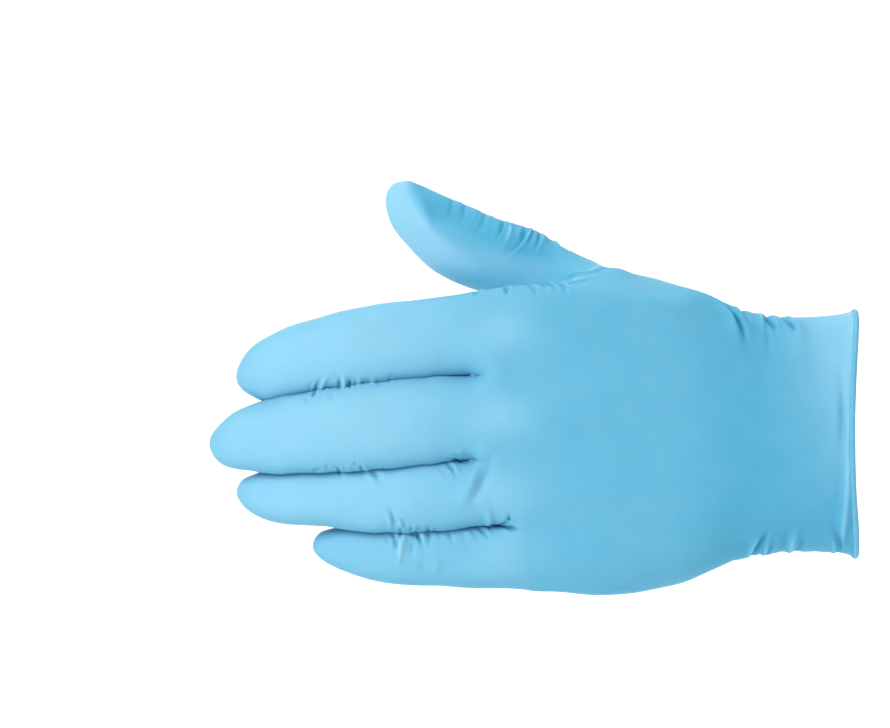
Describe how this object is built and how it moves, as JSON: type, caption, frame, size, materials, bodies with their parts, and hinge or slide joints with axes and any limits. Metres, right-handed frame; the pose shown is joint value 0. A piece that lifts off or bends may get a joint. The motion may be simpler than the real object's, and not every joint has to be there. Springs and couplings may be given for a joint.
{
  "type": "exam glove",
  "caption": "Thin disposable nitrile exam glove holding the shape of a left hand, fingers together and slightly curled, with a flared cuff and a rolled bead.",
  "frame": {"origin": "centre of the cuff's mouth, where the wrist goes in", "axes": "+X out of the cuff towards the forearm, so the fingers run along -X; +Z towards the thumb's side; +Y out of the palm, so the back of the hand faces -Y"},
  "size_m": [0.2107, 0.0732, 0.1369],
  "materials": {
    "nitrile_film": "smooth satin, light blue"
  },
  "bodies": {
    "root": {"glove": "nitrile_film"}
  },
  "joints": []
}
